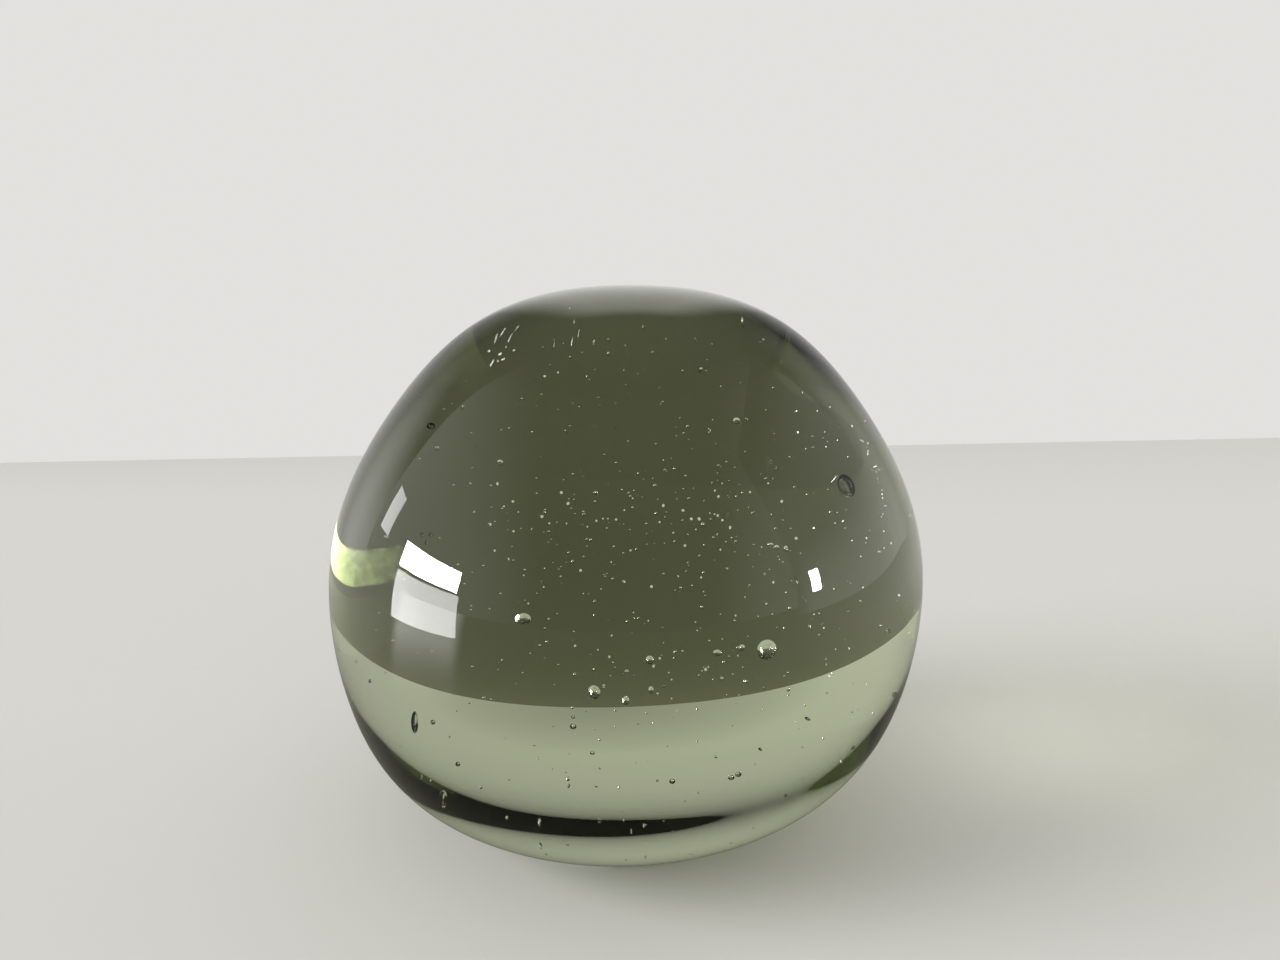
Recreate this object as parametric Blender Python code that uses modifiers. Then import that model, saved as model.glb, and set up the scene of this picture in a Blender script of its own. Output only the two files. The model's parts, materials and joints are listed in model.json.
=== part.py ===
"""A solid hand-made glass ball paperweight with a flattened crown and a ground flat base.

The object is one lump of bottle-green glass: it was gathered hot, shaped to a ball that sagged a
little to one side as it cooled, and ground flat underneath so that it stands on paper. Metres, +Z up,
origin on the table at the middle of the body.
"""
import math

import bmesh
import bpy
import numpy as np
from mathutils import Matrix

# Driving dimensions, in metres
BODY_DIAMETER = 0.0880
BODY_HEIGHT = 0.0806
WIDEST_HEIGHT = 0.0364
BASE_DIAMETER = 0.0404
CROWN_EDGE_REACH = 0.0449
SHOULDER_REACH = 0.0439
UPPER_SIDE_REACH = 0.0437
FLANK_REACH = 0.0444
BASE_RIM_ROUNDING = 0.0010
SAG_SIDEWAYS = 0.0012

# Where the four reaches are gauged, as angles up from the widest line, in degrees
CROWN_EDGE_ANGLE = 65.0
SHOULDER_ANGLE = 45.0
UPPER_SIDE_ANGLE = 22.0
FLANK_ANGLE = -30.0

# Fineness of the turned surface
PROFILE_STEPS = 32
TURN_STEPS = 64
RIM_SEGMENTS = 3
RIM_LEAST_ANGLE = math.radians(15.0)
AXIS_MERGE = 0.00001

GLASS_COLOUR = (0.30, 0.33, 0.13, 1.0)
GLASS_ROUGHNESS = 0.03
GLASS_IOR = 1.52


def clear_scene():
    """Removes what a new Blender scene holds."""
    for thing in list(bpy.data.objects):
        bpy.data.objects.remove(thing, do_unlink=True)


def new_collection(name):
    """A collection of its own for the object's parts."""
    collection = bpy.data.collections.new(name)
    bpy.context.scene.collection.children.link(collection)
    return collection


def wave_row(angle, count):
    """The first smooth waves that are level at the crown: 1, sin a, cos 2a, sin 3a, ..."""
    return [math.sin(n * angle) if n % 2 else math.cos(n * angle) for n in range(count)]


def wave_slope_row(angle, count):
    """The slopes of the same waves."""
    return [n * math.cos(n * angle) if n % 2 else -n * math.sin(n * angle) for n in range(count)]


def base_rim_angle():
    """The angle, seen from the ball's middle, at which the side meets the flat base."""
    return -math.atan2(WIDEST_HEIGHT, BASE_DIAMETER / 2)


def fit_reach_waves():
    """The one smooth curve through every gauged reach, upright at the widest line."""
    crown = math.pi / 2
    gauges = [
        (crown, BODY_HEIGHT - WIDEST_HEIGHT),
        (math.radians(CROWN_EDGE_ANGLE), CROWN_EDGE_REACH),
        (math.radians(SHOULDER_ANGLE), SHOULDER_REACH),
        (math.radians(UPPER_SIDE_ANGLE), UPPER_SIDE_REACH),
        (0.0, BODY_DIAMETER / 2),
        (math.radians(FLANK_ANGLE), FLANK_REACH),
        (base_rim_angle(), math.hypot(WIDEST_HEIGHT, BASE_DIAMETER / 2)),
    ]
    count = len(gauges) + 1
    rows = [wave_row(angle, count) for angle, _ in gauges]
    rows.append(wave_slope_row(0.0, count))
    values = [reach for _, reach in gauges]
    values.append(0.0)
    return np.linalg.solve(np.array(rows), np.array(values))


def half_profile():
    """Points down the outer side in the XZ plane, from the crown on the axis to the base's middle."""
    waves = fit_reach_waves()
    points = []
    for angle in np.linspace(math.pi / 2, base_rim_angle(), PROFILE_STEPS + 1):
        reach = float(np.dot(wave_row(angle, len(waves)), waves))
        points.append((reach * math.cos(angle), 0.0, WIDEST_HEIGHT + reach * math.sin(angle)))
    points[0] = (0.0, 0.0, BODY_HEIGHT)
    points[-1] = (BASE_DIAMETER / 2, 0.0, 0.0)
    points.append((0.0, 0.0, 0.0))
    return points


def turn_profile(name, points, collection):
    """A profile turned about Z, with the sharp rim of its flat base softened."""
    bm = bmesh.new()
    verts = [bm.verts.new(point) for point in points]
    for upper, lower in zip(verts, verts[1:]):
        bm.edges.new((upper, lower))
    mesh = bpy.data.meshes.new(name)
    bm.to_mesh(mesh)
    bm.free()
    turned = bpy.data.objects.new(name, mesh)
    collection.objects.link(turned)
    screw = turned.modifiers.new("turn", "SCREW")
    screw.axis = "Z"
    screw.steps = TURN_STEPS
    screw.render_steps = TURN_STEPS
    screw.use_merge_vertices = True
    screw.merge_threshold = AXIS_MERGE
    bevel = turned.modifiers.new("soften rim", "BEVEL")
    bevel.width = BASE_RIM_ROUNDING
    bevel.segments = RIM_SEGMENTS
    bevel.limit_method = "ANGLE"
    bevel.angle_limit = RIM_LEAST_ANGLE
    return turned


def sagged(turned, collection):
    """The turned body leaning sideways over its base, as hot glass sags; the base stays flat."""
    bpy.context.view_layer.update()
    graph = bpy.context.evaluated_depsgraph_get()
    mesh = bpy.data.meshes.new_from_object(turned.evaluated_get(graph))
    lean = Matrix.Shear("XY", 4, (SAG_SIDEWAYS / BODY_HEIGHT, 0.0))
    about_widest = Matrix.Translation((0.0, 0.0, WIDEST_HEIGHT))
    mesh.transform(about_widest @ lean @ about_widest.inverted())
    name = turned.name
    bpy.data.objects.remove(turned, do_unlink=True)
    body = bpy.data.objects.new(name, mesh)
    body.name = name
    collection.objects.link(body)
    return body


def bottle_glass():
    """Clear soda-lime glass, coloured yellow-green by the iron in its sand."""
    material = bpy.data.materials.new("bottle_glass")
    material.use_nodes = True
    shader = material.node_tree.nodes["Principled BSDF"]
    shader.inputs["Base Color"].default_value = GLASS_COLOUR
    shader.inputs["Roughness"].default_value = GLASS_ROUGHNESS
    shader.inputs["Metallic"].default_value = 0.0
    shader.inputs["IOR"].default_value = GLASS_IOR
    shader.inputs["Transmission Weight"].default_value = 1.0
    material.diffuse_color = GLASS_COLOUR
    return material


def main():
    clear_scene()
    parts = new_collection("paperweight")
    turned = turn_profile("glass_body", half_profile(), parts)
    body = sagged(turned, parts)
    body.data.materials.append(bottle_glass())
    body.data.shade_smooth()
    body.data.set_sharp_from_angle(angle=RIM_LEAST_ANGLE)


main()
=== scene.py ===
# %% [markdown]
# A solid glass ball paperweight, dressed step by step.
# The measured model is loaded first, and everything here stands in its frame: metres, +Z up, the
# table at height 0. Its box is kept, and gives the body's width and height.

# %% Load the measured model
import json
import math
import random

import bmesh
import bpy
import numpy as np
from mathutils import Matrix, Vector
from mathutils.bvhtree import BVHTree

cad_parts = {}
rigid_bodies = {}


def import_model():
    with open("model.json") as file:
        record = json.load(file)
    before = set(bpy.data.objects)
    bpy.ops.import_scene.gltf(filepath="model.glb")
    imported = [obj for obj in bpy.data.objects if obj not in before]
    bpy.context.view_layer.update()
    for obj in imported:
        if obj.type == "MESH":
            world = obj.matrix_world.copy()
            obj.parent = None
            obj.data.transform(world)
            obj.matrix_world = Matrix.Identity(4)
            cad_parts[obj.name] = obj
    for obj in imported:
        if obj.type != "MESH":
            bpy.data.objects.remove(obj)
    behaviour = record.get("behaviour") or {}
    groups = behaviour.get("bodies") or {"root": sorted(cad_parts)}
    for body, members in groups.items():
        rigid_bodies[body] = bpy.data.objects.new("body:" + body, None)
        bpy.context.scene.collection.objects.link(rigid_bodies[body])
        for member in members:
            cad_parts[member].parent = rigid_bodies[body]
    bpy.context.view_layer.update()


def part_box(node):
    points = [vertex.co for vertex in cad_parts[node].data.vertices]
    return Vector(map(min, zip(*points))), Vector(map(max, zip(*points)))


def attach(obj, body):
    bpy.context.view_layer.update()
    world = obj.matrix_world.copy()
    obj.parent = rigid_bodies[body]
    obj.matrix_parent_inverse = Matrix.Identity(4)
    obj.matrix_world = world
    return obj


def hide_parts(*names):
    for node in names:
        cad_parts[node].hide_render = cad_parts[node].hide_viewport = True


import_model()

MM = 0.001
LOW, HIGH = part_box("glass_body")
BODY_RADIUS = (HIGH[0] - LOW[0]) / 2
BODY_HEIGHT = HIGH[2]
print("measured body:", [round((b - a) / MM, 2) for a, b in zip(LOW, HIGH)], "mm")

# %% [markdown]
# A few small helpers serve every piece. Colours are written as sRGB hex values, the way they are read off
# a screen, and turned to the linear values that a shader works with. One function adds any shader node
# with its settings and its links. The last two turn a bmesh into a mesh, and into an object.

# %% Helpers for materials and objects


def linear(hex_colour):
    """An sRGB hex colour as linear red, green, blue and a full alpha."""
    parts = [int(hex_colour[i:i + 2], 16) / 255 for i in (1, 3, 5)]
    return (*[c / 12.92 if c <= 0.04045 else ((c + 0.055) / 1.055) ** 2.4 for c in parts], 1.0)


def add_node(tree, kind, inputs=(), **settings):
    """A shader node of that kind; inputs maps a socket to a value or to another node's output."""
    node = tree.nodes.new("ShaderNode" + kind)
    for name, value in settings.items():
        setattr(node, name, value)
    for socket, value in dict(inputs).items():
        if isinstance(value, bpy.types.NodeSocket):
            tree.links.new(value, node.inputs[socket])
        else:
            node.inputs[socket].default_value = value
    return node


def new_material(name):
    """A material with an empty node tree and its output node."""
    material = bpy.data.materials.new(name)
    material.use_nodes = True
    material.node_tree.nodes.clear()
    return material, material.node_tree, add_node(material.node_tree, "OutputMaterial")


def finished_mesh(name, bm):
    """A mesh of that name made from a bmesh, which is then freed."""
    mesh = bpy.data.meshes.new(name)
    bm.to_mesh(mesh)
    bm.free()
    return mesh


def new_object(name, bm, material):
    """An object at the origin, made from a bmesh and given a material."""
    mesh = finished_mesh(name, bm)
    mesh.materials.append(material)
    thing = bpy.data.objects.new(name, mesh)
    bpy.context.scene.collection.objects.link(thing)
    return thing


CLEAR = linear("#ffffff")
print("a mid grey of #808080 is", round(linear("#808080")[0], 3), "as a linear value")

# %% [markdown]
# The photograph was taken from close by, a little above the ball. Its focal length in pixels and the
# camera's place come from fitting the ball's outline, so a pixel of the photograph can be turned into a
# ray. The bubbles are placed with that ray later. Pixels are counted in the photograph's own frame, 1280
# across and 960 down, from its top left corner.

# %% Camera at the photograph's viewing angle
PHOTO_WIDTH, PHOTO_HEIGHT = 1280, 960
FOCAL_PIXELS = 1050.0
SENSOR_WIDTH = 36.0
NEAREST_SEEN = 5.0 * MM
CAMERA_PLACE = Vector((2.06, -154.87, 84.90)) * MM
CAMERA_PITCH = math.radians(12.14)

camera_data = bpy.data.cameras.new("camera")
camera_data.sensor_width = SENSOR_WIDTH
camera_data.lens = SENSOR_WIDTH * FOCAL_PIXELS / PHOTO_WIDTH
camera_data.clip_start = NEAREST_SEEN
camera = bpy.data.objects.new("camera", camera_data)
camera.location = CAMERA_PLACE
camera.rotation_euler = (math.pi / 2 - CAMERA_PITCH, 0.0, 0.0)
bpy.context.scene.collection.objects.link(camera)
bpy.context.scene.camera = camera
print("camera lens:", round(camera_data.lens, 2), "mm")


def pixel_ray(x, y):
    """The unit direction from the camera through a pixel of the photograph."""
    forward = Vector((0.0, math.cos(CAMERA_PITCH), -math.sin(CAMERA_PITCH)))
    up = Vector((0.0, math.sin(CAMERA_PITCH), math.cos(CAMERA_PITCH)))
    right = Vector((1.0, 0.0, 0.0))
    across = (x - PHOTO_WIDTH / 2) / FOCAL_PIXELS
    down = (y - PHOTO_HEIGHT / 2) / FOCAL_PIXELS
    return (forward + right * across - up * down).normalized()


# %% [markdown]
# Clear glass has hardly any look of its own: it shows its surroundings bent, mirrored and tinted. So the
# stage is part of the likeness. A white paper backdrop stands close behind, and its foot is the line that
# the ball turns upside down. A card stands along the right side. The light is that of a white tent: sky
# and paper light the floor equally from all round, so a colour renders about as it is written. What the
# ball shows is set apart from that light, as if it came from one side: through the glass the tent is
# brighter on the left, and its mirror image is dark, apart from its sides and a few patches of paper. An
# environment picture could do this too, but a Light Path node tells these rays apart without one.

# %% How bright the tent is
WHITE_PAPER = linear("#fffefb")
WHITE_LEVEL = 0.76
MIRRORED_LEVEL = 0.06
MIRRORED_SIDES = 0.80
THROUGH_LEFT = 0.90
THROUGH_RIGHT = 0.10

# A direction is told by its X part, from -1 on the left to 1 on the right
SIDES_START, SIDES_FULL = 0.45, 0.95
THROUGH_FROM, THROUGH_TO = -0.7, 0.5


def tent_level(tree, mirrored, through):
    """The strength of white, with other levels for a mirrored ray and for one that came through glass."""
    path = add_node(tree, "LightPath")
    crossed = path.outputs["Is Transmission Ray"]
    glint = add_node(
        tree, "Math", {0: path.outputs["Is Glossy Ray"], 1: crossed}, operation="SUBTRACT", use_clamp=True,
    )
    # A Mix node has its factor at socket 0, two numbers at 2 and 3, and two colours at 6 and 7
    plain = add_node(tree, "Mix", {0: crossed, 2: WHITE_LEVEL, 3: through})
    level = add_node(tree, "Mix", {0: glint.outputs[0], 2: plain.outputs[0], 3: mirrored})
    return level.outputs[0]


world = bpy.data.worlds.new("white tent")
bpy.context.scene.world = world
world.use_nodes = True
tree = world.node_tree
tree.nodes.clear()
direction = add_node(tree, "TexCoord")
axes = add_node(tree, "SeparateXYZ", {0: direction.outputs["Generated"]})
sideways = add_node(tree, "Math", {0: axes.outputs["X"]}, operation="ABSOLUTE")
# A Map Range node has its value at socket 0, the old range at 1 and 2, and the new range at 3 and 4
mirrored = add_node(
    tree, "MapRange",
    {0: sideways.outputs[0], 1: SIDES_START, 2: SIDES_FULL, 3: MIRRORED_LEVEL, 4: MIRRORED_SIDES},
    interpolation_type="SMOOTHSTEP",
)
through = add_node(
    tree, "MapRange",
    {0: axes.outputs["X"], 1: THROUGH_FROM, 2: THROUGH_TO, 3: THROUGH_LEFT, 4: THROUGH_RIGHT},
)
level = tent_level(tree, mirrored.outputs[0], through.outputs[0])
sky = add_node(tree, "Background", {"Color": WHITE_PAPER, "Strength": level})
add_node(tree, "OutputWorld", {"Surface": sky.outputs[0]})
print("tent: white at", WHITE_LEVEL, "and its mirror image from", MIRRORED_LEVEL, "to", MIRRORED_SIDES)

# %% [markdown]
# The floor is pale to the camera. In and through the glass it is a darker grey, because the photographed
# ball shows grey in its upper part; that grey lightens towards the paper, which is painted light from
# the paper. In the ball's mirror image the floor turns pale further off and towards both sides, and has
# the sheen of the softbox on the left, as a painted board gains at a low angle: both are painted sheen.
# A glossy board would show that sheen to the camera too, so it is drawn as a glowing patch that only the
# mirror image has. The floor lies a hair below the ball, so that they never coincide.

# %% Floor
FLOOR_DROP = 0.2 * MM
FLOOR_REACH = 3.0
PALE_FLOOR = linear("#cfcecb")
GREY_TABLE = linear("#656559")
GREY_LIT_BY_PAPER = linear("#7c7c6e")

# Painted light from the paper lightens the grey between these places, in metres towards the paper
GREY_LIGHTENS, GREY_LIGHTEST = 0.10, 0.28

# Each pair says where a patch of painted sheen is gone and where it is full. Distances are in metres from
# the ball's middle, and facings run from -1 at the camera's side to 1 at the paper. Bearings are in
# radians clockwise from +Y, about a point that lies SHEEN_FROM before the middle
PALE_DISTANCES = (0.0, 0.24)
PALE_FACINGS = (-0.95, 0.0)
SHEEN_LEVEL = 2.8
SHEEN_DISTANCES = (0.075, 0.24)
SHEEN_FROM = 18.0 * MM
SHEEN_BEARINGS = [(-1.60, -1.69), (-2.16, -2.06)]


def soft_patch(tree, level, fades):
    """A level that fades out softly; each fade has a value, where it is gone and where it is full."""
    for value, gone, full in fades:
        fade = add_node(tree, "MapRange", {0: value, 1: gone, 2: full}, interpolation_type="SMOOTHSTEP")
        level = add_node(tree, "Math", {0: fade.outputs[0], 1: level}, operation="MULTIPLY").outputs[0]
    return level


floor_material, tree, output = new_material("painted board, matt pale grey")
path = add_node(tree, "LightPath")
glossy, crossed = path.outputs["Is Glossy Ray"], path.outputs["Is Transmission Ray"]
in_glass = add_node(tree, "Math", {0: glossy, 1: crossed}, operation="MAXIMUM")
glint = add_node(tree, "Math", {0: glossy, 1: crossed}, operation="SUBTRACT", use_clamp=True).outputs[0]
place = add_node(tree, "TexCoord")
axes = add_node(tree, "SeparateXYZ", {0: place.outputs["Object"]})
distance = add_node(tree, "VectorMath", {0: place.outputs["Object"]}, operation="LENGTH").outputs["Value"]
facing = add_node(tree, "Math", {0: axes.outputs["Y"], 1: distance}, operation="DIVIDE").outputs[0]
ahead = add_node(tree, "Math", {0: axes.outputs["Y"], 1: SHEEN_FROM}, operation="ADD").outputs[0]
bearing = add_node(tree, "Math", {0: axes.outputs["X"], 1: ahead}, operation="ARCTAN2").outputs[0]

# Painted sheen: in the mirror image the floor turns pale further off and towards both sides
pale = soft_patch(tree, glint, [(distance, *PALE_DISTANCES), (facing, *PALE_FACINGS)])
dull = add_node(tree, "Math", {0: in_glass.outputs[0], 1: pale}, operation="SUBTRACT")
# Painted light: through the glass the grey floor lightens towards the glowing paper
lit_by_paper = add_node(tree, "MapRange", {0: axes.outputs["Y"], 1: GREY_LIGHTENS, 2: GREY_LIGHTEST})
grey = add_node(tree, "Mix", {0: lit_by_paper.outputs[0], 6: GREY_TABLE, 7: GREY_LIT_BY_PAPER}, data_type="RGBA")
tone = add_node(tree, "Mix", {0: dull.outputs[0], 6: PALE_FLOOR, 7: grey.outputs[2]}, data_type="RGBA")
board = add_node(tree, "BsdfDiffuse", {"Color": tone.outputs[2]})

# Painted sheen of the softbox: a glowing patch that only the mirror image shows
fades = [(distance, *SHEEN_DISTANCES)] + [(bearing, *edge) for edge in SHEEN_BEARINGS]
sheen = add_node(tree, "Math", {0: soft_patch(tree, glint, fades), 1: SHEEN_LEVEL}, operation="MULTIPLY")
shine = add_node(tree, "Emission", {"Color": WHITE_PAPER, "Strength": sheen.outputs[0]})
surface = add_node(tree, "AddShader", {0: board.outputs[0], 1: shine.outputs[0]})
tree.links.new(surface.outputs[0], output.inputs["Surface"])

bm = bmesh.new()
bmesh.ops.create_grid(bm, x_segments=1, y_segments=1, size=FLOOR_REACH)
bmesh.ops.translate(bm, verts=bm.verts, vec=(0.0, 0.0, -FLOOR_DROP))
floor = new_object("floor", bm, floor_material)
print("floor:", [round(d, 2) for d in floor.dimensions[:2]], "m")

# %% [markdown]
# A sheet of white paper stands close behind, turned a little, and a card along the right side. Lamps could
# light them, but paper that glows by itself is even and plain. Through the glass it is somewhat brighter
# on the left, which is painted light, and its foot lies in the ball's painted soft shade. Its mirror image
# is made of painted patches of light with soft edges: it is brightest low down at both sides, and a
# taller strip stands behind the crown.

# %% Backdrop and side card
# Places are in metres, and a level of 1 is white
BACKDROP_DISTANCE = 0.303
BACKDROP_TURN = math.radians(6.1)
BACKDROP_LEFT = -0.65
BACKDROP_RIGHT = 0.62
CARD_LENGTH = 0.75
PAPER_HEIGHT = 0.90
# Painted light: through the glass the paper glows brighter on the left than on the right
PAPER_LEFT, PAPER_LEFT_LEVEL = -0.20, 0.86
PAPER_RIGHT, PAPER_RIGHT_LEVEL = 0.08, 0.72
# The ball's painted shade, which dims the paper's glow near its foot
SHADE_DEPTH, SHADE_REACH = 0.65, 0.042
SHADE_SHAPE = (0.4, 0.0, 1.0)

# Each painted patch of light has a level and its fades; a fade names an axis, where it is gone and where
# it is full
BACKDROP_LIGHT_PATCHES = [
    (0.60, [("Z", 0.34, 0.02)]),
    (1.35, [("Z", 0.40, 0.06), ("X", -0.15, -0.45)]),
    (0.90, [("Z", 0.54, 0.36), ("X", -0.15, -0.05), ("X", 0.15, 0.05)]),
    (0.95, [("Z", 0.62, 0.04), ("X", 0.10, 0.55)]),
]
CARD_LIGHT_PATCHES = [
    (1.10, [("Z", 0.48, 0.06), ("Y", -0.44, -0.26)]),
    (0.50, [("Z", 0.95, 0.30), ("Y", -0.70, -0.40)]),
]


def glowing_paper(name, patches):
    """Glowing white paper, with painted light and shade seen through glass, and painted light in its
    mirror.
    """
    material, tree, output = new_material(name)
    place = add_node(tree, "TexCoord")
    axes = add_node(tree, "SeparateXYZ", {0: place.outputs["Object"]})
    # Painted light and shade for rays through the glass: brighter on the left, dimmer at the ball's foot
    side = add_node(
        tree, "MapRange",
        {0: axes.outputs["X"], 1: PAPER_LEFT, 2: PAPER_RIGHT, 3: PAPER_LEFT_LEVEL, 4: PAPER_RIGHT_LEVEL},
    )
    wide = add_node(tree, "VectorMath", {0: place.outputs["Object"], 1: SHADE_SHAPE}, operation="MULTIPLY")
    away = add_node(tree, "VectorMath", {0: wide.outputs[0]}, operation="LENGTH")
    shade = add_node(tree, "MapRange", {0: away.outputs["Value"], 2: SHADE_REACH, 3: SHADE_DEPTH, 4: 1.0})
    through = add_node(tree, "Math", {0: side.outputs[0], 1: shade.outputs[0]}, operation="MULTIPLY")
    mirrored = MIRRORED_LEVEL
    # Painted patches of light, which only the mirror image shows
    for level, fades in patches:
        patch = soft_patch(tree, level, [(axes.outputs[axis], gone, full) for axis, gone, full in fades])
        mirrored = add_node(tree, "Math", {0: patch, 1: mirrored}, operation="MAXIMUM").outputs[0]
    level = tent_level(tree, mirrored, through.outputs[0])
    glow = add_node(tree, "Emission", {"Color": WHITE_PAPER, "Strength": level})
    tree.links.new(glow.outputs[0], output.inputs["Surface"])
    return material


def standing_paper(name, from_foot, to_foot, material):
    """An upright sheet over a straight foot line that is given before the backdrop is turned."""
    bm = bmesh.new()
    foot = bm.edges.new([bm.verts.new((*end, 0.0)) for end in (from_foot, to_foot)])
    raised = bmesh.ops.extrude_edge_only(bm, edges=[foot])["geom"]
    top = [v for v in raised if isinstance(v, bmesh.types.BMVert)]
    bmesh.ops.translate(bm, verts=top, vec=(0.0, 0.0, PAPER_HEIGHT))
    turn = Matrix.Rotation(BACKDROP_TURN, 3, "Z")
    bmesh.ops.rotate(bm, verts=bm.verts, cent=(0.0, 0.0, 0.0), matrix=turn)
    bmesh.ops.translate(bm, verts=bm.verts, vec=(0.0, BACKDROP_DISTANCE, -FLOOR_DROP))
    return new_object(name, bm, material)


backdrop = standing_paper(
    "backdrop", (BACKDROP_LEFT, 0.0), (BACKDROP_RIGHT, 0.0),
    glowing_paper("seamless paper, white", BACKDROP_LIGHT_PATCHES),
)
side_card = standing_paper(
    "side_card", (BACKDROP_RIGHT, 0.0), (BACKDROP_RIGHT, -CARD_LENGTH),
    glowing_paper("white card, fading", CARD_LIGHT_PATCHES),
)
print("backdrop:", [round(d, 2) for d in backdrop.dimensions], "m")

# %% [markdown]
# A wide, far lamp on the left lights the floor evenly and throws the soft shadow. From the same side a
# very bright softbox only shows in the glass: as the white mirror image, and as the patch at the left
# edge, which has been mirrored twice inside the ball. It stacks three tubes, because the renderer clamps
# the light of each lamp. The other crisp highlights come from small panels that light nothing else, the
# way a photographer sets a reflector card. Their bearings are those in the photograph.

# %% Lamps
FLOOR_LAMP_FROM = Vector((-0.97, -0.24, 0.41))
FLOOR_LAMP_SPREAD = math.radians(34.0)
FLOOR_LAMP_LEVEL = 2.77
SOFTBOX_TUBES = 3
SOFTBOX_DISTANCE = 1.0
TUBE_SPACING = 10.0 * MM

floor_light = bpy.data.lights.new("floor lamp", "SUN")
floor_light.energy = FLOOR_LAMP_LEVEL
floor_light.angle = FLOOR_LAMP_SPREAD
floor_lamp = bpy.data.objects.new("floor lamp", floor_light)
floor_lamp.rotation_euler = (-FLOOR_LAMP_FROM).to_track_quat("-Z", "Y").to_euler()
floor_lamp.visible_camera = False
floor_lamp.visible_glossy = False
floor_lamp.visible_transmission = False
bpy.context.scene.collection.objects.link(floor_lamp)


def softbox(name, bearing, distance, height, size, radiance, through=True):
    """A rectangular lamp at a bearing clockwise from +Y that faces the ball and doesn't light the floor.

    The skin of the ball mirrors it, and with through it also shows through the glass.
    """
    lamp = bpy.data.lights.new(name, "AREA")
    lamp.shape = "RECTANGLE"
    lamp.size, lamp.size_y = size
    lamp.energy = radiance * math.pi * size[0] * size[1]
    thing = bpy.data.objects.new(name, lamp)
    angle = math.radians(bearing)
    thing.location = (distance * math.sin(angle), distance * math.cos(angle), height)
    aim = Vector((0.0, 0.0, BODY_HEIGHT / 2)) - thing.location
    thing.rotation_euler = aim.to_track_quat("-Z", "Y").to_euler()
    thing.visible_camera = False
    thing.visible_diffuse = False
    thing.visible_transmission = through
    bpy.context.scene.collection.objects.link(thing)
    return thing


for layer in range(SOFTBOX_TUBES):
    bright_box = softbox(
        f"bright softbox, tube {layer + 1}", bearing=-104.8,
        distance=SOFTBOX_DISTANCE + TUBE_SPACING * layer, height=0.214, size=(0.51, 0.13), radiance=40.0,
    )
lower_panel = softbox(
    "highlight panel, lower", bearing=-110.0,
    distance=0.25, height=0.0345, size=(0.126, 0.061), radiance=9.0,
)
softbox(
    "highlight strip, left", bearing=-80.7,
    distance=0.30, height=0.122, size=(0.035, 0.055), radiance=5.0, through=False,
)
right_strip = softbox(
    "highlight strip, right", bearing=111.3,
    distance=0.45, height=0.092, size=(0.032, 0.055), radiance=70.0,
)

# %% [markdown]
# How far does the glass reach from its middle? The measured model was gauged at a few angles up from the
# widest line, and the same reaches are used here. Straight lines between them would show as facets, and
# arcs as seams that bend light, so one smooth sum of waves runs through them all. The lower flank is a
# little uneven, as hand-shaped glass is: fuller on the left, and flatter at the front and the back.

# %% The reach of the glass
WIDEST_HEIGHT = 36.4 * MM
BASE_RADIUS = 20.2 * MM

# Angles up from the widest line, in degrees, and how far the glass reaches there
GAUGES = {65.0: 44.9 * MM, 45.0: 43.9 * MM, 22.0: 43.7 * MM, -30.0: 44.4 * MM}

# The uneven flank, as angles up from the widest line, and by how much it departs from a turned one
FLANK_MIDDLE, FLANK_SPREAD = math.radians(-45.0), math.radians(30.0)
FLANK_FULLER_LEFT = 0.36 * MM
FLANK_WIDER_THAN_DEEP = 0.35 * MM


def wave_row(angle, count):
    """Smooth waves that are level at the crown: 1, sin a, cos 2a, sin 3a, ..."""
    return [math.sin(n * angle) if n % 2 else math.cos(n * angle) for n in range(count)]


def fit_reach():
    """The weights of the waves that pass through every gauge and stand upright at the widest line."""
    points = [(math.pi / 2, BODY_HEIGHT - WIDEST_HEIGHT), (0.0, BODY_RADIUS)]
    points.append((-math.atan2(WIDEST_HEIGHT, BASE_RADIUS), math.hypot(WIDEST_HEIGHT, BASE_RADIUS)))
    points += [(math.radians(angle), reach) for angle, reach in GAUGES.items()]
    count = len(points) + 1
    rows = [wave_row(angle, count) for angle, _ in points]
    rows.append([n if n % 2 else 0.0 for n in range(count)])
    return np.linalg.solve(np.array(rows), np.array([reach for _, reach in points] + [0.0]))


def reach_towards(direction):
    """How far the glass reaches from the ball's middle in a unit direction."""
    angle = math.asin(max(-1.0, min(1.0, direction.z)))
    reach = float(np.dot(wave_row(angle, len(REACH_WAVES)), REACH_WAVES))
    off_flank = max(-1.0, min(1.0, (angle - FLANK_MIDDLE) / FLANK_SPREAD))
    bearing = math.atan2(direction.x, direction.y)
    uneven = -FLANK_FULLER_LEFT * math.sin(bearing) - FLANK_WIDER_THAN_DEEP * math.cos(2 * bearing)
    return reach + uneven * (1 - off_flank ** 2) ** 2


REACH_WAVES = fit_reach()
print("weights of the waves:", [round(float(weight) / MM, 2) for weight in REACH_WAVES], "mm")

# %% [markdown]
# The body was gathered as a ball, pushed to shape while hot, left to sag a little to one side, and ground
# flat underneath. A profile could be spun about the upright axis, but then the flank couldn't be uneven.
# So the mesh is made in the order of the real work: a sphere whose points move out to the reach of the
# glass, a sideways shear, a flat cut, and a rim that is rounded a little.

# %% Glass body
SAG_SIDEWAYS = 1.2 * MM
RIM_ROUNDING = 1.0 * MM
RIM_SEGMENTS = 5
CUT_TOLERANCE = 1e-7
TURN_STEPS, HEIGHT_STEPS = 256, 180
SAG = Matrix.Shear("XY", 4, (SAG_SIDEWAYS / BODY_HEIGHT, 0.0))
BODY_PLACE = Matrix.Translation((0.0, 0.0, WIDEST_HEIGHT)) @ SAG

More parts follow.
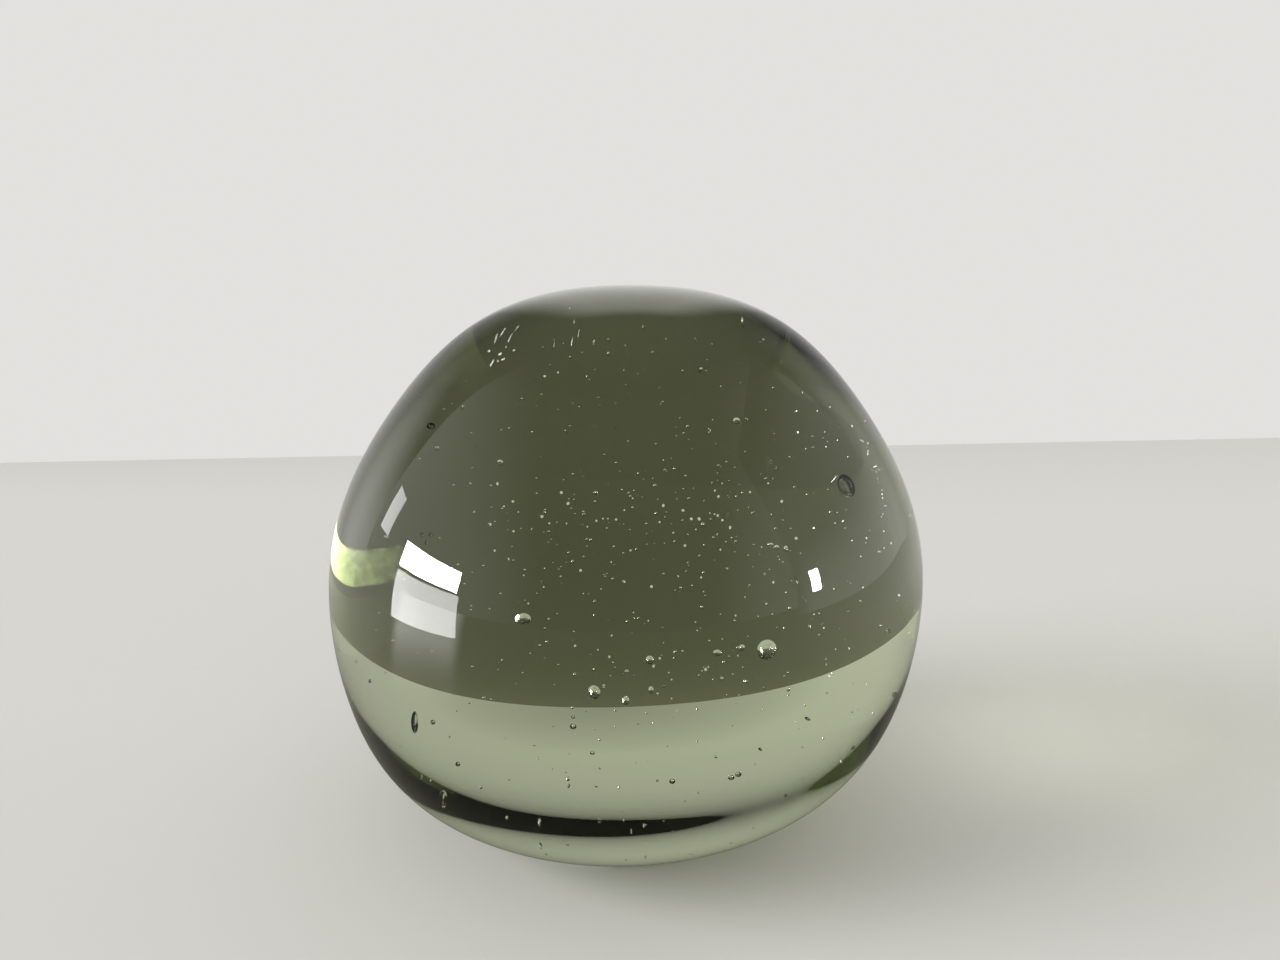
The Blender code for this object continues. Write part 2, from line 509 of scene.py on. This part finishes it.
bm = bmesh.new()
bmesh.ops.create_uvsphere(bm, u_segments=TURN_STEPS, v_segments=HEIGHT_STEPS, radius=1.0)
for vert in bm.verts:
    vert.co *= reach_towards(vert.co.normalized())
bmesh.ops.transform(bm, matrix=BODY_PLACE, verts=bm.verts)
cut = bmesh.ops.bisect_plane(
    bm, geom=bm.verts[:] + bm.edges[:] + bm.faces[:], dist=CUT_TOLERANCE,
    plane_co=(0.0, 0.0, 0.0), plane_no=(0.0, 0.0, -1.0), clear_outer=True,
)
rim = [e for e in cut["geom_cut"] if isinstance(e, bmesh.types.BMEdge)]
bmesh.ops.edgeloop_fill(bm, edges=rim)
bmesh.ops.bevel(
    bm, geom=rim, offset=RIM_ROUNDING, offset_type="OFFSET", affect="EDGES",
    segments=RIM_SEGMENTS, profile=0.5, material=-1,
)
bmesh.ops.recalc_face_normals(bm, faces=bm.faces)
body_tree = BVHTree.FromBMesh(bm)
print("glass body:", len(bm.verts), "points,", len(bm.faces), "faces")

# %% [markdown]
# Bottle glass is soda-lime glass tinted by the iron in its sand. It is clear, so the colour is in its
# depth: a colour on the skin would tint thin and thick glass alike. Absorption takes most from blue and
# least from green, and a ball of this size comes out olive. The skin is fire-polished, so it is perfectly
# smooth. Only the underside was ground flat on a wheel, and its fine grit marks scatter the light that
# reaches it. They are far too fine to show one by one, so roughness stands for them.

# %% Bottle glass
GLASS_IOR = 1.52
ABSORPTION_PER_METRE = 12.6
PASSED_COLOUR = linear("#9cac3f")
GROUND_HEIGHT = 0.3 * MM
GROUND_ROUGHNESS = 0.35

glass_material, tree, output = new_material("bottle glass, fire-polished, ground underneath")
place = add_node(tree, "TexCoord")
axes = add_node(tree, "SeparateXYZ", {0: place.outputs["Object"]})
grit = add_node(tree, "MapRange", {0: axes.outputs["Z"], 1: GROUND_HEIGHT, 2: 0.0, 4: GROUND_ROUGHNESS})
surface = add_node(tree, "BsdfPrincipled", {
    "Base Color": CLEAR, "Roughness": grit.outputs[0],
    "IOR": GLASS_IOR, "Transmission Weight": 1.0,
})
depth = add_node(tree, "VolumeAbsorption", {"Color": PASSED_COLOUR, "Density": ABSORPTION_PER_METRE})
tree.links.new(surface.outputs[0], output.inputs["Surface"])
tree.links.new(depth.outputs[0], output.inputs["Volume"])

glass = new_object("glass_ball", bm, glass_material)
glass.data.shade_smooth()
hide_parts("glass_body")
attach(glass, "root")
print("glass ball:", [round(d / MM, 2) for d in glass.dimensions], "mm")

# %% [markdown]
# The glass was melted with air in it, and never quite cleared. A line of sight bends where it enters the
# ball, so a bubble that shows at some pixel lies along the bent line. These helpers follow that line to a
# chosen depth, and gauge there how far apart two neighbouring pixels look.

# %% Lines of sight in the glass
GAUGE_PIXELS = 6


def bend(ray, normal):
    """The direction that a ray takes in the glass behind a skin with that outward normal."""
    slant = -ray.dot(normal)
    bent_slant = math.sqrt(1 - (1 - slant ** 2) / GLASS_IOR ** 2)
    return ray / GLASS_IOR + normal * (slant / GLASS_IOR - bent_slant)


def inside(x, y, depth):
    """The point seen at a pixel from a depth in the glass, and the direction of the bent line of sight."""
    ray = pixel_ray(x, y)
    place, normal, _, _ = body_tree.ray_cast(CAMERA_PLACE, ray)
    sight = bend(ray, normal)
    return place + sight * depth, sight


def pixel_steps(x, y, depth):
    """The point there, the line of sight, and the steps across it that move its image by one pixel."""
    point, sight = inside(x, y, depth)
    right = inside(x + GAUGE_PIXELS, y, depth)[0] - inside(x - GAUGE_PIXELS, y, depth)[0]
    up = inside(x, y - GAUGE_PIXELS, depth)[0] - inside(x, y + GAUGE_PIXELS, depth)[0]
    right /= 2 * GAUGE_PIXELS
    up /= 2 * GAUGE_PIXELS
    return point, sight, right - sight * right.dot(sight), up - sight * up.dot(sight)


skin_point, _ = inside(PHOTO_WIDTH / 2, PHOTO_HEIGHT / 2, 0.0)
print("skin at the middle of the photograph:", [round(c / MM, 1) for c in skin_point], "mm")

# %% [markdown]
# Each bubble is a closed hollow. It could be cut out of the ball, but a skin of its own inside the ball
# bends light in the same way and is simpler to place. It is a copy of a unit shape, a ball or a thin coin,
# that a matrix stretches and places. A bubble is blown so that it shows at a chosen size in pixels.

# %% Shapes of hollows


def columns(place, first, second, third):
    """The matrix that carries the unit axes to three columns, about a place."""
    return Matrix.Translation(place) @ Matrix((first, second, third)).transposed().to_4x4()


def round_mesh(segments, rings):
    """A unit ball."""
    bm = bmesh.new()
    bmesh.ops.create_uvsphere(bm, u_segments=segments, v_segments=rings, radius=1.0)
    return finished_mesh("round hollow", bm)


def coin_mesh(sides):
    """A flat disc of unit radius that reaches from -1 to 1 along its axis."""
    bm = bmesh.new()
    bmesh.ops.create_cone(bm, segments=sides, radius1=1.0, radius2=1.0, depth=2.0, cap_ends=True)
    return finished_mesh("flat hollow", bm)


FINE = round_mesh(segments=48, rings=32)
MIDDLING = round_mesh(segments=24, rings=16)
COARSE = round_mesh(segments=8, rings=6)
COIN = coin_mesh(sides=12)
print("faces of the hollow shapes:", [len(shape.polygons) for shape in (FINE, MIDDLING, COARSE, COIN)])


def add_hollow(bm, matrix, shape):
    """Adds a copy of a unit shape to a bmesh, stretched and placed by a matrix."""
    hollow = shape.copy()
    hollow.transform(matrix)
    bm.from_mesh(hollow)
    bpy.data.meshes.remove(hollow)


def leaning(right, up, wide, tall, lean):
    """Half the width and half the length, in pixel steps, of a shape that leans right by some degrees."""
    cosine, sine = math.cos(math.radians(lean)), math.sin(math.radians(lean))
    across = (right * cosine - up * sine) * wide / 2
    along = (up * cosine + right * sine) * tall / 2
    return across, along


def blow(bm, x, y, depth_mm, wide, tall, lean=0.0, flat=1.0, ball=MIDDLING):
    """Adds a bubble that shows that many pixels wide and tall at a pixel, leaning some degrees right."""
    point, sight, right, up = pixel_steps(x, y, depth_mm * MM)
    across, along = leaning(right, up, wide, tall, lean)
    thick = -sight * (across.length + along.length) / 2 * flat
    add_hollow(bm, columns(point, across, along, thick), ball)


# %% [markdown]
# Seen from inside the glass, air is the thinner stuff, so its skin has the glass's index turned over. It
# then mirrors all light that comes in at a slant, which gives a bubble its dark or shining edge. All
# hollows of one kind make one piece. Before a piece is sealed in, the glass over it is measured, because
# a hollow that broke through the skin would no longer be a bubble.

# %% Trapped air


def least_cover(bm):
    """The least thickness of glass over the points of a hollow; negative where it would break out."""
    cover = BODY_HEIGHT
    for vert in bm.verts:
        nearest, normal, _, _ = body_tree.find_nearest(vert.co)
        cover = min(cover, (nearest - vert.co).dot(normal))
    return cover


air_material, tree, output = new_material("trapped air, sealed in glass")
skin = add_node(tree, "BsdfGlass", {"Color": CLEAR, "Roughness": 0.0, "IOR": 1 / GLASS_IOR})
tree.links.new(skin.outputs[0], output.inputs["Surface"])
print("index of air, seen from inside the glass:", round(1 / GLASS_IOR, 3))


def seal(name, bm, smooth=True):
    """Makes the hollows in a bmesh one piece of trapped air inside the ball."""
    cover = least_cover(bm)
    hollow = new_object(name, bm, air_material)
    if smooth:
        hollow.data.shade_smooth()
    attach(hollow, "root")
    print(name, len(hollow.data.polygons), "faces, least cover", round(cover / MM, 2), "mm")


# %% [markdown]
# Two bubbles are large enough to have a name: a round one low on the right, and an oval one that was
# pressed flat against the skin when the ball was shaped. Then come thirty-five middling ones. Each bubble
# has its pixel in the photograph, a depth in millimetres that was judged, and its width and height
# in pixels.

# %% Large and middling bubbles
ROUND_BUBBLE = (768, 649, 28.0, 18, 21)
ROUND_LEAN = -9.0
OVAL_BUBBLE = (846, 486, 4.0, 17, 25)
OVAL_LEAN = -25.0
OVAL_FLATNESS = 0.75

bm = bmesh.new()
blow(bm, *ROUND_BUBBLE, lean=ROUND_LEAN, ball=FINE)
seal("bubble_round", bm)

bm = bmesh.new()
blow(bm, *OVAL_BUBBLE, lean=OVAL_LEAN, flat=OVAL_FLATNESS, ball=FINE)
seal("bubble_oval", bm)

MIDDLING_BUBBLES = [
    (524, 619, 28.0, 14, 12), (595, 693, 28.0, 12, 12), (626, 701, 28.0, 8, 9), (649, 661, 30.0, 8, 8),
    (718, 653, 28.0, 8, 7), (741, 647, 26.0, 6, 6), (736, 421, 26.0, 8, 7), (500, 463, 24.0, 7, 6),
    (437, 448, 18.0, 5, 5), (464, 408, 18.0, 5, 5), (421, 396, 12.0, 4, 4), (573, 726, 10.0, 7, 7),
    (573, 717, 7.0, 4, 4), (592, 753, 12.0, 5, 5), (415, 722, 5.0, 8, 23), (433, 722, 6.0, 5, 5),
    (731, 777, 9.0, 7, 6), (738, 774, 9.0, 7, 6), (672, 781, 8.0, 6, 6), (458, 764, 5.0, 5, 5),
    (370, 681, 4.0, 3, 4), (788, 689, 16.0, 4, 5), (888, 631, 10.0, 5, 5), (895, 695, 4.0, 5, 6),
    (443, 800, 3.0, 8, 18), (421, 777, 3.0, 4, 5), (430, 781, 3.0, 4, 4), (650, 690, 28.0, 5, 8),
    (777, 547, 24.0, 6, 5), (786, 549, 24.0, 5, 6), (771, 545, 25.0, 5, 4), (431, 426, 2.5, 9, 7),
    (423, 535, 1.5, 6, 5), (431, 535, 1.5, 5, 5), (427, 543, 1.5, 5, 6),
]
bm = bmesh.new()
for bubble in MIDDLING_BUBBLES:
    blow(bm, *bubble)
seal("bubbles_middling", bm)

# %% [markdown]
# Some air is pressed so flat that it only shows where it mirrors the light: it shines like a spark. A
# round bubble as small as that would hardly show, and one that glows by itself would glow from every
# side. So each spark is a thin disc, tilted to send the line of sight out to a lamp or to the white paper.
# High on the left the ball was once knocked, and a bruise of tiny flakes shines there; a few drawn-out
# slivers lie beside it, and one hair of air by the oval bubble. Small flat slips lie before some larger
# bubbles, and give each of them the glint of the softbox.

# %% Flakes and slivers
FLAKE_FLATNESS = 0.02
WAY_STEPS = 20
BRIGHT_PAPER = Vector((-0.05, 0.28, 0.55))


def way_out(point, goal):
    """The direction in the glass that leaves the skin towards a goal, found by trying again and again."""
    way = (goal - point).normalized()
    for _ in range(WAY_STEPS):
        skin_place, normal, _, _ = body_tree.ray_cast(point, way)
        way = (way - bend((skin_place - goal).normalized(), normal)).normalized()
    return way


def flake(bm, goal, x, y, depth, wide, tall, lean=0.0):
    """Adds a thin disc of air at a pixel that mirrors the line of sight to a goal outside the ball."""
    point, sight, right, up = pixel_steps(x, y, depth)
    facing = (way_out(point, goal) - sight).normalized()
    across, along = leaning(right, up, wide, tall, lean)
    across -= sight * across.dot(facing) / sight.dot(facing)
    along -= sight * along.dot(facing) / sight.dot(facing)
    add_hollow(bm, columns(point, across, along, facing * across.length * FLAKE_FLATNESS), COIN)


# What a piece mirrors, its depth in millimetres, and its flakes: the pixel, the width and the length in
# pixels, and the lean to the right in degrees
FLAKES = {
    "bruise_flakes": (lower_panel.location, 2.5, [
        (496, 338, 1.0, 13, 20), (503, 332, 1.0, 11, 32), (510, 338, 1.0, 10, 28), (517, 328, 0.7, 7, 35),
        (514, 350, 1.6, 3, 50), (500, 354, 2.0, 4, 60), (489, 351, 1.6, 3, 30), (492, 363, 1.6, 8, 30),
        (503, 359, 1.2, 5, 60), (506, 347, 0.8, 3, 20), (498, 361, 1.0, 2, 0),
    ]),
    "slivers": (lower_panel.location, 2.5, [
        (579, 330, 0.8, 22, 8), (572, 341, 1.0, 12, 8), (594, 340, 0.8, 8, 10), (574, 321, 1.0, 4, 10),
        (554, 343, 0.7, 8, 5),
    ]),
    "hair": (right_strip.location, 2.5, [(834, 479, 0.9, 11, 40)]),
    "glints": (bright_box.location, 26.3, [
        (762, 649, 2.8, 9, -14), (774, 648, 1.8, 4, -10), (590.5, 693, 1.8, 5, -14),
        (623.5, 701, 1.2, 4, -10), (517, 618, 4.0, 8, 25),
    ]),
}
for name, (goal, depth, places) in FLAKES.items():
    bm = bmesh.new()
    for x, y, wide, tall, lean in places:
        flake(bm, goal, x, y, depth * MM, wide, tall, lean)
    seal(name, bm, smooth=False)

# %% [markdown]
# Glassmakers call the tiny bubbles seeds. Some line up in a chain on the right, where one string of air
# was drawn out, and many gather in the middle. The seeds that catch the eye stand at their places in the
# photograph, group by group. They shine like points, so they are sparks of one to three pixels. Seeded
# dice vary their depth, size and length a little.

# %% Seeds at their places
DICE_SEED = 7
DEPTH_SPREAD = (0.7, 1.3)
SIZE_SPREAD = (0.6, 1.4)
LENGTH_SPREAD = (0.9, 1.2)

# What a group mirrors, its depth in millimetres, the size of its seeds in pixels, and their pixels
SEED_GROUPS = {
    "chain": (right_strip.location, 8.0, 1.5, [
        (861, 440), (863, 441), (868, 443), (867, 447), (868, 451), (868, 454), (874, 467), (876, 466),
        (872, 470), (876, 472), (877, 478), (879, 482), (882, 490), (882, 494), (883, 498), (885, 506),
        (883, 514), (882, 517),
    ]),
    "upper right": (right_strip.location, 8.0, 1.5, [
        (830, 407), (796, 411), (817, 411), (865, 421), (852, 426), (825, 432), (798, 432), (837, 440),
        (826, 447), (806, 449), (803, 392),
    ]),
    "right": (right_strip.location, 10.0, 1.4, [
        (837, 513), (843, 521), (835, 523), (814, 528), (869, 531), (884, 531), (899, 535), (866, 538),
        (852, 541), (866, 543), (891, 543), (884, 547), (861, 556), (798, 583), (823, 586), (834, 589),
        (863, 587), (860, 601), (899, 595), (820, 614), (814, 614), (822, 624), (824, 628), (840, 629),
        (849, 648), (836, 649), (829, 676), (826, 665),
    ]),
    "middle left": (BRIGHT_PAPER, 26.0, 2.1, [
        (498, 484), (514, 501), (505, 506), (519, 512), (562, 493), (567, 503), (632, 498), (625, 510),
        (490, 525), (513, 531), (541, 517), (550, 524), (567, 523), (587, 527), (596, 521), (603, 519),
        (607, 518), (617, 520), (606, 528), (494, 550), (508, 560), (523, 576), (544, 587), (528, 604),
        (611, 562), (581, 570), (630, 550), (583, 594), (601, 589), (625, 582), (558, 373), (545, 377),
    ]),
    "middle right": (BRIGHT_PAPER, 26.0, 2.1, [
        (722, 483), (715, 490), (718, 496), (749, 492), (769, 483), (663, 505), (682, 510), (782, 501),
        (710, 513), (714, 514), (718, 515), (722, 520), (730, 528), (692, 519), (700, 519), (660, 522),
        (696, 530), (718, 534), (727, 542), (673, 533), (684, 546), (721, 550), (762, 547), (795, 538),
        (679, 576), (701, 578), (727, 569), (652, 587), (703, 592), (765, 574), (774, 583), (745, 597),
    ]),
    "low middle": (BRIGHT_PAPER, 28.0, 2.1, [
        (634, 612), (648, 620), (659, 658), (668, 672), (672, 679), (657, 694), (654, 667), (613, 636),
        (598, 650), (609, 657), (574, 645), (674, 653), (695, 622), (698, 630), (676, 710), (672, 699),
        (702, 670), (705, 669), (709, 667), (738, 656), (736, 616), (767, 603), (772, 614), (722, 639),
    ]),
}
dice = random.Random(DICE_SEED)
bm = bmesh.new()
for goal, middle_depth, middle_size, places in SEED_GROUPS.values():
    for x, y in places:
        depth = middle_depth * dice.uniform(*DEPTH_SPREAD) * MM
        size = middle_size * dice.uniform(*SIZE_SPREAD)
        flake(bm, goal, x, y, depth, size, size * dice.uniform(*LENGTH_SPREAD))
seal("seeds_seen", bm, smooth=False)

# %% [markdown]
# Hundreds more seeds are scattered through the whole ball, as fine as dust, so that it looks as full of
# air from every side. Instances could strew them, but one joined mesh is exported just as it is. About
# half of them drift in a cloud near the middle, and the rest lie anywhere. A spot that isn't well covered
# by glass is drawn again. A seed has only a few dozen faces.

# %% Scattered seeds
SCATTERED_SEEDS = 700
SEED_COVER = 1.5 * MM
CLOUD_MIDDLE = Vector((4.0, 0.0, 42.0)) * MM
CLOUD_SPREAD = 15.0 * MM
CLOUD_SHARE = 0.5
SEED_RADIUS = 0.10 * MM
SEED_RADIUS_SPREAD = 0.3

bm = bmesh.new()
made = 0
while made < SCATTERED_SEEDS:
    if dice.random() < CLOUD_SHARE:
        spot = CLOUD_MIDDLE + Vector([dice.gauss(0.0, CLOUD_SPREAD) for _ in range(3)])
    else:
        spot = Vector([dice.uniform(low, high) for low, high in zip(LOW, HIGH)])
    nearest, normal, _, _ = body_tree.find_nearest(spot)
    if (nearest - spot).dot(normal) < SEED_COVER:
        continue
    radius = SEED_RADIUS * dice.lognormvariate(0.0, SEED_RADIUS_SPREAD)
    add_hollow(bm, Matrix.Translation(spot) @ Matrix.Scale(radius, 4), COARSE)
    made += 1
seal("seeds_scattered", bm)

# %% [markdown]
# The last step sets the view transform to Standard.

# %% View transform
bpy.context.scene.view_settings.view_transform = "Standard"
